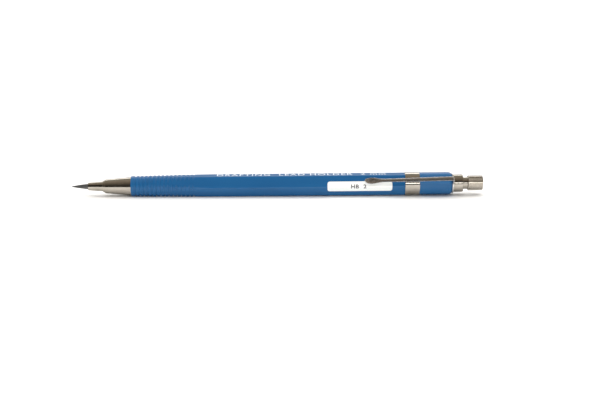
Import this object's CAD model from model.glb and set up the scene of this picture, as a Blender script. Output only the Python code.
"""Looks of the lead holder: finishes, lettering, the crowned pocket clip, floor, light and camera.

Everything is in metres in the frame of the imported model: the pencil lies along X with its button
towards +X, on a flat of its hexagon, +Z up.
"""

from math import atan2, cos, pi, radians, sin

import bmesh
import bpy
from mathutils import Matrix, Vector


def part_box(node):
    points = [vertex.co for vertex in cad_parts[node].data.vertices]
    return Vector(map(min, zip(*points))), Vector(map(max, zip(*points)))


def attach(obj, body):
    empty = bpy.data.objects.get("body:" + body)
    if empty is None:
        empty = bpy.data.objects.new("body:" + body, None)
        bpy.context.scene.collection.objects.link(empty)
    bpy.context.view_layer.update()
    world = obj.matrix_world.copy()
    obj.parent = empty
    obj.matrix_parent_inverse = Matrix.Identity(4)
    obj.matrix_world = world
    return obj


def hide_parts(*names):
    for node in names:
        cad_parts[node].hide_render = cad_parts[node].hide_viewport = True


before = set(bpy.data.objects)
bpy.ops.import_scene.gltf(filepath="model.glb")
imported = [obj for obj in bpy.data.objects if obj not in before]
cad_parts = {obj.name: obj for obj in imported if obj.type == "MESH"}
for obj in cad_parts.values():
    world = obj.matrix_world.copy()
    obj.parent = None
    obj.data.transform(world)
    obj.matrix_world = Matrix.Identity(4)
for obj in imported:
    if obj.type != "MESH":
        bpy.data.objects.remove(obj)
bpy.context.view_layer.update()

MM = 0.001
SCENE = bpy.context.scene

# --- places read from the frame ---------------------------------------------------------------------

collar_low, collar_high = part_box("tail_collar")
ring_low, ring_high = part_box("ring_band")
barrel_low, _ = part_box("barrel")
arm_low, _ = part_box("clip_arm")

AXIS_Z = (collar_low.z + collar_high.z) / 2
FLAT_RADIUS = AXIS_Z                      # the origin lies on the bottom flat
FACE_ANGLE = radians(30)                  # the two front faces lean this far either way from upright
TOP_OUT = Vector((0, 0, 1))               # face with the lettering
ALONG = Vector((1, 0, 0))
AXIS_POINT = Vector((0, 0, AXIS_Z))


# --- small helpers ----------------------------------------------------------------------------------

def link(mesh_or_curve, name):
    """Puts new data in the scene as an object."""
    obj = bpy.data.objects.new(name, mesh_or_curve)
    SCENE.collection.objects.link(obj)
    return obj


def mesh_object(name, verts, faces):
    """A smooth mesh object from plain lists, with its normals outwards."""
    mesh = bpy.data.meshes.new(name)
    mesh.from_pydata([tuple(v) for v in verts], [], faces)
    work = bmesh.new()
    work.from_mesh(mesh)
    bmesh.ops.recalc_face_normals(work, faces=work.faces)
    work.to_mesh(mesh)
    work.free()
    for polygon in mesh.polygons:
        polygon.use_smooth = True
    return link(mesh, name)


def dress(obj, material):
    """Gives an object one material."""
    obj.data.materials.clear()
    obj.data.materials.append(material)


# --- materials --------------------------------------------------------------------------------------

class Nodes:
    """A material's node tree with a shader to fill in."""

    def __init__(self, name):
        self.material = bpy.data.materials.new(name)
        self.material.use_nodes = True
        self.tree = self.material.node_tree
        self.shader = self.tree.nodes["Principled BSDF"]

    def add(self, kind, **values):
        node = self.tree.nodes.new(kind)
        for key, value in values.items():
            if key in node.inputs:
                node.inputs[key].default_value = value
            else:
                setattr(node, key, value)
        return node

    def join(self, source, output, target, socket):
        self.tree.links.new(source.outputs[output], target.inputs[socket])

    def set(self, **values):
        for key, value in values.items():
            self.shader.inputs[key.replace("_", " ")].default_value = value

    def position(self, scale):
        """Object coordinates, stretched by a scale in each direction."""
        place = self.add("ShaderNodeTexCoord")
        mapping = self.add("ShaderNodeMapping")
        mapping.inputs["Scale"].default_value = scale
        self.join(place, "Object", mapping, "Vector")
        return mapping

    def noise(self, scale, stretch=(1, 1, 1), detail=3.0, roughness=0.5):
        """Noise whose scale is in features per metre."""
        noise = self.add("ShaderNodeTexNoise", Scale=scale, Detail=detail, Roughness=roughness)
        self.join(self.position(stretch), "Vector", noise, "Vector")
        return noise

    def colour(self, texture, low, high):
        """Base colour that goes from one (place, colour) stop to another with a texture."""
        ramp = self.add("ShaderNodeValToRGB")
        for element, (place, colour) in zip(ramp.color_ramp.elements, (low, high)):
            element.position = place
            element.color = (*colour, 1)
        self.join(texture, "Fac", ramp, "Fac")
        self.join(ramp, "Color", self.shader, "Base Color")

    def roughness(self, texture, low, high):
        """Roughness that varies over a range with a texture."""
        span = self.add("ShaderNodeMapRange")
        span.inputs["To Min"].default_value = low
        span.inputs["To Max"].default_value = high
        self.join(texture, "Fac", span, "Value")
        self.join(span, "Result", self.shader, "Roughness")

    def bump(self, texture, strength, depth):
        """Fine relief, its depth in metres."""
        bump = self.add("ShaderNodeBump", Strength=strength, Distance=depth)
        self.join(texture, "Fac", bump, "Height")
        self.join(bump, "Normal", self.shader, "Normal")


def blue_plastic():
    """Injection moulded barrel: deep sky blue, a fine sheen, faint streaks along it and handling marks."""
    n = Nodes("blue_plastic")
    n.set(IOR=1.49, Coat_Weight=0.06, Coat_Roughness=0.12, Specular_IOR_Level=0.38)
    flow = n.noise(260, stretch=(0.12, 1, 1), detail=4)
    n.colour(flow, (0.25, (0.006, 0.082, 0.225)), (0.75, (0.009, 0.103, 0.262)))
    marks = n.noise(2200, stretch=(0.35, 1, 1), detail=6, roughness=0.65)
    n.roughness(marks, 0.22, 0.40)
    orange_peel = n.noise(1500, detail=2)
    n.bump(orange_peel, 0.06, 0.06 * MM)
    return n.material


def plated_metal(name, colour, dark, rough_low, rough_high, turned):
    """Polished plating over turned brass, with fine tool rings along X and a little tarnish."""
    n = Nodes(name)
    n.set(Metallic=1.0, IOR=2.2)
    tarnish = n.noise(420, detail=5, roughness=0.6)
    n.colour(tarnish, (0.3, dark), (0.7, colour))
    rings = n.noise(turned, stretch=(1, 0.02, 0.02), detail=3)
    n.roughness(rings, rough_low, rough_high)
    n.bump(rings, 0.10, 0.03 * MM)
    return n.material


def drawn_steel():
    """Nickel-plated spring steel: brushed lengthways and slightly greyer than the turned pieces."""
    n = Nodes("drawn_steel")
    n.set(Metallic=1.0)
    grain = n.noise(6000, stretch=(0.03, 1, 1), detail=4)
    n.colour(grain, (0.3, (0.58, 0.58, 0.59)), (0.7, (0.72, 0.72, 0.73)))
    n.roughness(grain, 0.14, 0.30)
    n.bump(grain, 0.12, 0.02 * MM)
    return n.material


def machined_brass():
    """Bare brass of the inner works, with tool rings and dull patches."""
    n = Nodes("machined_brass")
    n.set(Metallic=1.0)
    patches = n.noise(700, detail=5)
    n.colour(patches, (0.3, (0.47, 0.33, 0.13)), (0.75, (0.70, 0.52, 0.24)))
    rings = n.noise(4000, stretch=(1, 0.02, 0.02))
    n.roughness(rings, 0.2, 0.42)
    n.bump(rings, 0.15, 0.03 * MM)
    return n.material


def graphite():
    """Sharpened lead: dark grey with a soft metallic sheen and scrape marks round the point."""
    n = Nodes("graphite")
    n.set(Metallic=0.35, IOR=1.8)
    grain = n.noise(5000, stretch=(1, 0.25, 0.25), detail=6, roughness=0.7)
    n.colour(grain, (0.3, (0.030, 0.030, 0.031)), (0.75, (0.095, 0.095, 0.094)))
    n.roughness(grain, 0.32, 0.55)
    n.bump(grain, 0.35, 0.04 * MM)
    return n.material


def label_paper():
    """White sticker: faint fibres and a slightly coated surface."""
    n = Nodes("label_paper")
    n.set(Coat_Weight=0.2, Coat_Roughness=0.3)
    fibres = n.noise(3500, detail=6, roughness=0.7)
    n.colour(fibres, (0.3, (0.80, 0.83, 0.81)), (0.7, (0.88, 0.90, 0.89)))
    n.roughness(fibres, 0.42, 0.6)
    n.bump(fibres, 0.15, 0.03 * MM)
    return n.material


def ink(name, low, high, roughness):
    """Printed or foil-stamped ink with a little unevenness."""
    n = Nodes(name)
    wear = n.noise(2600, detail=6, roughness=0.7)
    n.colour(wear, (0.35, low), (0.6, high))
    n.roughness(wear, roughness, roughness + 0.15)
    return n.material


def floor_paper():
    """Plain pale studio sweep."""
    n = Nodes("floor_paper")
    cloud = n.noise(6, detail=2)
    n.colour(cloud, (0.3, (0.93, 0.93, 0.93)), (0.7, (0.95, 0.95, 0.95)))
    n.set(Roughness=0.9, Specular_IOR_Level=0.1)
    return n.material


BLUE = blue_plastic()
NICKEL = plated_metal("nickel_plate", (0.47, 0.435, 0.385), (0.40, 0.37, 0.32), 0.09, 0.18, 5200)
STEEL = drawn_steel()
BRASS = machined_brass()
GRAPHITE = graphite()
PAPER = label_paper()
WHITE_FOIL = ink("white_foil", (0.70, 0.73, 0.76), (0.90, 0.92, 0.94), 0.35)
BLACK_INK = ink("black_ink", (0.02, 0.02, 0.022), (0.05, 0.05, 0.055), 0.45)

FINISHES = {
    "barrel": BLUE,
    "grade_label": PAPER,
    "lead": GRAPHITE,
    "clip_ring": STEEL,
    "clip_arm": STEEL,
    "pointer": STEEL,
    "return_spring": STEEL,
    "spring_washer": STEEL,
    "ring_band": NICKEL,
    "nose_cone": NICKEL,
    "jaw_1": NICKEL,
    "jaw_2": NICKEL,
    "jaw_3": NICKEL,
    "tail_collar": NICKEL,
    "button_plug": NICKEL,
    "button_cap": NICKEL,
    "front_bush": BRASS,
    "tail_bush": BRASS,
    "clutch_sleeve": BRASS,
    "clutch_tube": BRASS,
    "stop_ring": BRASS,
}
for node, material in FINISHES.items():
    dress(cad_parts[node], material)

# --- print ------------------------------------------------------------------------------------------

PRINT_DEPTH = 0.02 * MM                    # how far the print stands out, and reaches in
LETTER_SPACING = 1.15
TITLE_HEIGHT = 2.5 * MM
TITLE_PLACE = 3.4 * MM                     # middle of the lettering along the pencil
GRADE_HEIGHT = 1.45 * MM
GRADE_PLACE = 23.6 * MM                    # middle of the label's print along the pencil
GRADE_WEIGHT = 0.05 * MM                   # how much bolder its strokes are drawn
FOLD_CUTS = 3                              # cuts each side of the fold, so that the print bends smoothly
CORNER_RADIUS = 0.45 * MM                  # of the barrel's six corners
LABEL_THICKNESS = 0.07 * MM
CAP_HEIGHT = 0.70                          # capitals of the built-in font, as a share of its size


def letter_mesh(name, text, height, weight=0.0):
    """Lettering as a flat mesh on the XY plane, reading along X, centred, with a little thickness."""
    letters = bpy.data.curves.new(name, "FONT")
    letters.body = text
    letters.align_x, letters.align_y = "CENTER", "CENTER"
    letters.size = height / CAP_HEIGHT
    letters.extrude = PRINT_DEPTH
    letters.offset = weight
    letters.space_character = LETTER_SPACING
    outline = link(letters, name + "_outline")
    bpy.context.view_layer.update()
    mesh = bpy.data.meshes.new_from_object(outline.evaluated_get(bpy.context.evaluated_depsgraph_get()))
    bpy.data.objects.remove(outline)
    return mesh


def add_print(mesh, name, material):
    """Puts lettering in the scene as a piece of the barrel."""
    piece = link(mesh, name)
    dress(piece, material)
    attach(piece, "barrel")


title = letter_mesh("title", "DRAFTING  LEAD HOLDER  2 mm", TITLE_HEIGHT)
title.transform(Matrix.Translation(AXIS_POINT + TOP_OUT * FLAT_RADIUS + ALONG * TITLE_PLACE))
add_print(title, "barrel_lettering", WHITE_FOIL)

# the label is folded round the corner between the two front faces, and its print bends with it
LABEL_RADIUS = CORNER_RADIUS + LABEL_THICKNESS
CORNER_OUT = (FLAT_RADIUS - CORNER_RADIUS) / cos(FACE_ANGLE)     # from the axis to the corner's centre


def fold(point):
    """Lays a point of a flat sheet over the corner: its y is the way up the label, its z the height."""
    angle = max(-FACE_ANGLE, min(FACE_ANGLE, point.y / LABEL_RADIUS))
    past = point.y - angle * LABEL_RADIUS
    outward = Vector((0, -cos(angle), sin(angle)))
    upward = Vector((0, sin(angle), cos(angle)))
    corner = AXIS_POINT - Vector((0, CORNER_OUT, 0))
    return corner + outward * (LABEL_RADIUS + point.z) + upward * past + ALONG * point.x


grade = letter_mesh("grade", "HB  2", GRADE_HEIGHT, GRADE_WEIGHT)
cuts = bmesh.new()
cuts.from_mesh(grade)
for step in range(-FOLD_CUTS, FOLD_CUTS + 1):
    everything = cuts.verts[:] + cuts.edges[:] + cuts.faces[:]
    level = step / FOLD_CUTS * LABEL_RADIUS * FACE_ANGLE
    bmesh.ops.bisect_plane(cuts, geom=everything, plane_co=(0, level, 0), plane_no=(0, 1, 0))
for vert in cuts.verts:
    vert.co = fold(vert.co + Vector((GRADE_PLACE, 0, 0)))
cuts.to_mesh(grade)
cuts.free()
add_print(grade, "label_print", BLACK_INK)

# --- pocket clip --------------------------------------------------------------------------------------
# The arm is a pressed strip: turned down along its upper edge, dished at the spoon. Values without MM are
# in millimetres.

CLIP_ANGLE = radians(28)
CLIP_OUT = Vector((0, -cos(CLIP_ANGLE), sin(CLIP_ANGLE)))
CLIP_ACROSS = CLIP_OUT.cross(ALONG)
HALF_SHEET = 0.18 * MM
UPPER_CROWN = 0.20 * MM                    # how far the upper edge of the strip is turned down
LOWER_CROWN = 0.05 * MM
DISH = 0.13 * MM
EDGE_DROP = 0.09 * MM                      # extra rounding right at that edge
EDGE_START = 0.75                          # where that rounding starts, as a share of the half width
SPOON_LENGTH = 6.8
WIDEST = 2.3                               # from the tip to the spoon's widest place
BLUNTNESS = 0.03                           # keeps the tip from closing to a point
SPOON_HALF_WIDTH = 1.09
NECK_HALF_WIDTH = 0.60
ARM_HALF_WIDTH = 0.78
ARM_RUN = 30.68                            # from the tip to where the bend starts
BEND_RADIUS = 0.52
SPOON_STEPS, ARM_STEPS, BEND_STEPS = 28, 24, 8
ACROSS = [-1, -0.96, -0.9, -0.75, -0.5, -0.25, 0, 0.25, 0.5, 0.75, 0.9, 0.96, 1]    # shares of half width
UNDERSIDE = (1, 0, -1)
# (distance from the tip, distance from the pencil's axis, slope) of the sheet's middle, in mm
SIDE_VIEW = [(0.0, 4.97, -0.56), (2.6, 4.36, 0.139), (SPOON_LENGTH, 4.82, 0.079), (ARM_RUN, 6.72, 0.079)]


def side_radius(along):
    """Distance of the sheet's middle from the pencil's axis, in mm."""
    for (x0, r0, s0), (x1, r1, s1) in zip(SIDE_VIEW, SIDE_VIEW[1:]):
        if along <= x1:
            span = x1 - x0
            t = (along - x0) / span
            return ((2 * t**3 - 3 * t**2 + 1) * r0 + (t**3 - 2 * t**2 + t) * span * s0
                    + (3 * t**2 - 2 * t**3) * r1 + (t**3 - t**2) * span * s1)
    return SIDE_VIEW[-1][1]


def half_width(along):
    """Half the width of the sheet, in mm."""
    if along < WIDEST:
        return SPOON_HALF_WIDTH * max(BLUNTNESS, 1 - ((WIDEST - along) / WIDEST) ** 2) ** 0.5
    if along < SPOON_LENGTH:
        swell = 0.5 + 0.5 * cos(pi * (along - WIDEST) / (SPOON_LENGTH - WIDEST))
        return NECK_HALF_WIDTH + (SPOON_HALF_WIDTH - NECK_HALF_WIDTH) * swell
    share = min(1.0, (along - SPOON_LENGTH) / (ARM_RUN - SPOON_LENGTH))
    return NECK_HALF_WIDTH + (ARM_HALF_WIDTH - NECK_HALF_WIDTH) * share


def clip_arm():
    """The arm as one closed strip, station by station from the tip to the end of the bend."""
    stations = []                          # (distance from the tip, angle turned in the bend)
    for step in range(SPOON_STEPS + 1):
        stations.append((SPOON_LENGTH * (1 - cos(pi / 2 * step / SPOON_STEPS)), 0.0))
    for step in range(1, ARM_STEPS + 1):
        stations.append((SPOON_LENGTH + (ARM_RUN - SPOON_LENGTH) * step / ARM_STEPS, 0.0))
    for step in range(1, BEND_STEPS + 1):
        stations.append((ARM_RUN, pi / 2 * step / BEND_STEPS))
    verts, faces = [], []
    for along, bend in stations:
        radius = side_radius(along) * MM - BEND_RADIUS * MM * (1 - cos(bend))
        place = arm_low.x + along * MM + BEND_RADIUS * MM * sin(bend)
        outward = CLIP_OUT * cos(bend) + ALONG * sin(bend)
        middle = AXIS_POINT + CLIP_OUT * radius + ALONG * place
        dished = max(0.0, min(1.0, (SPOON_LENGTH - along) / (SPOON_LENGTH - WIDEST)))
        half = half_width(along) * MM
        for share in ACROSS:
            edge = max(0.0, (share - EDGE_START) / (1 - EDGE_START)) ** 2 * EDGE_DROP
            turned = (UPPER_CROWN if share > 0 else LOWER_CROWN) * share**2
            crown = (1 - dished) * turned + dished * DISH * (1 - share**2)
            verts.append(middle + outward * (HALF_SHEET - crown - edge) + CLIP_ACROSS * half * share)
        for share in UNDERSIDE:
            verts.append(middle - outward * HALF_SHEET + CLIP_ACROSS * half * share)
    ring = len(ACROSS) + len(UNDERSIDE)
    for station in range(len(stations) - 1):
        for spot in range(ring):
            following = (spot + 1) % ring
            first, second = station * ring, (station + 1) * ring
            faces.append((first + spot, first + following, second + following, second + spot))
    faces.append(tuple(range(ring)))
    faces.append(tuple(range(len(verts) - ring, len(verts))))
    return mesh_object("pressed_clip_arm", verts, faces)


arm = clip_arm()
dress(arm, STEEL)
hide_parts("clip_arm")
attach(arm, "clip_spring")

# --- floor, light and camera ------------------------------------------------------------------------

TAIL_DROP = (ring_high.z - ring_low.z) / 2 - AXIS_Z      # how far the round ring stands below the flat
TAPER_LENGTH = 28 * MM
FLAT_START = barrel_low.x + TAPER_LENGTH                 # the flat's front end, which also touches the floor
FLOOR_SLOPE = atan2(TAIL_DROP, ring_low.x - FLAT_START)
FLOOR_HALF = 3.0

floor_mesh = bpy.data.meshes.new("floor")
corners = [(-FLOOR_HALF, -FLOOR_HALF), (FLOOR_HALF, -FLOOR_HALF), (FLOOR_HALF, FLOOR_HALF),
           (-FLOOR_HALF, FLOOR_HALF)]
floor_mesh.from_pydata([(x, y, -(x - FLAT_START) * FLOOR_SLOPE) for x, y in corners], [], [(0, 1, 2, 3)])
floor = link(floor_mesh, "floor")
dress(floor, floor_paper())

# (name, place, the point it faces, width and height, watts, seen in gloss). The two that aren't seen light
# the set, and the strips give the gloss its shapes.
LIGHTS = [
    ("overhead_softbox", (0.0, 0.3, 1.8), (0, 0.3, 0), (4.0, 3.6), 75, False),
    ("front_strip", (0.25, -0.95, 0.27), (0.05, 0, 0), (0.7, 0.12), 1.3, True),
    ("front_fill", (0.0, -1.3, 0.10), (0, 0, 0), (2.2, 0.4), 9, False),
    ("back_strip", (0.0, 0.9, 0.75), (0, 0, 0), (1.8, 0.3), 5.0, True),
]


def area_light(name, place, aim, size, power, in_gloss):
    """A rectangular softbox at a place, facing a point."""
    light = bpy.data.lights.new(name, "AREA")
    light.shape = "RECTANGLE"
    light.size, light.size_y = size
    light.energy = power
    obj = link(light, name)
    obj.location = place
    obj.rotation_euler = (Vector(aim) - Vector(place)).to_track_quat("-Z", "Y").to_euler()
    obj.visible_glossy = in_gloss


for settings in LIGHTS:
    area_light(*settings)

# brightness of the room from the side behind the camera (0) over the ceiling (0.5) to the back wall (1)
ROOM = [
    (0.0, (0.028, 0.026, 0.020)),
    (0.06, (0.055, 0.050, 0.040)),
    (0.22, (0.22, 0.185, 0.145)),
    (0.50, (0.42, 0.36, 0.29)),
    (0.75, (0.46, 0.43, 0.37)),
    (0.98, (0.50, 0.52, 0.54)),
]
world = bpy.data.worlds.new("studio")
SCENE.world = world
world.use_nodes = True
sky = world.node_tree
toward = sky.nodes.new("ShaderNodeTexCoord")
parts = sky.nodes.new("ShaderNodeSeparateXYZ")
room = sky.nodes.new("ShaderNodeValToRGB")
span = sky.nodes.new("ShaderNodeMapRange")
span.inputs["From Min"].default_value = -1.0
for place, brightness in ROOM:
    if place == 0.0:
        room.color_ramp.elements[0].color = (*brightness, 1)
        continue
    stop = room.color_ramp.elements.new(place)
    stop.color = (*brightness, 1)
room.color_ramp.elements.remove(room.color_ramp.elements[-1])
sky.links.new(toward.outputs["Generated"], parts.inputs["Vector"])
sky.links.new(parts.outputs["Y"], span.inputs["Value"])
sky.links.new(span.outputs["Result"], room.inputs["Fac"])
sky.links.new(room.outputs["Color"], sky.nodes["Background"].inputs["Color"])
SCENE.view_settings.view_transform = "Standard"

CAMERA_DISTANCE = 0.4307
CAMERA_LIFT = radians(15)
CAMERA_ROLL = radians(0.54)
NEAREST_SEEN = 0.01
LENS = 72.8
AIM_ALONG = 2.92 * MM                     # the picture's middle along the pencil
AIM_BELOW = 5.50 * MM                      # and how far it is below the pencil's axis in the picture
view_way = Vector((0, cos(CAMERA_LIFT), -sin(CAMERA_LIFT)))
view_up = Vector((0, sin(CAMERA_LIFT), cos(CAMERA_LIFT)))
camera_data = bpy.data.cameras.new("camera")
camera_data.lens = LENS
camera_data.clip_start = NEAREST_SEEN
camera = link(camera_data, "camera")
rolled_up = Matrix.Rotation(CAMERA_ROLL, 3, view_way) @ view_up
side = view_way.cross(rolled_up)
turn = Matrix((side, rolled_up, -view_way)).transposed().to_4x4()
aim = AXIS_POINT + ALONG * AIM_ALONG - view_up * AIM_BELOW
camera.matrix_world = Matrix.Translation(aim - view_way * CAMERA_DISTANCE) @ turn
SCENE.camera = camera
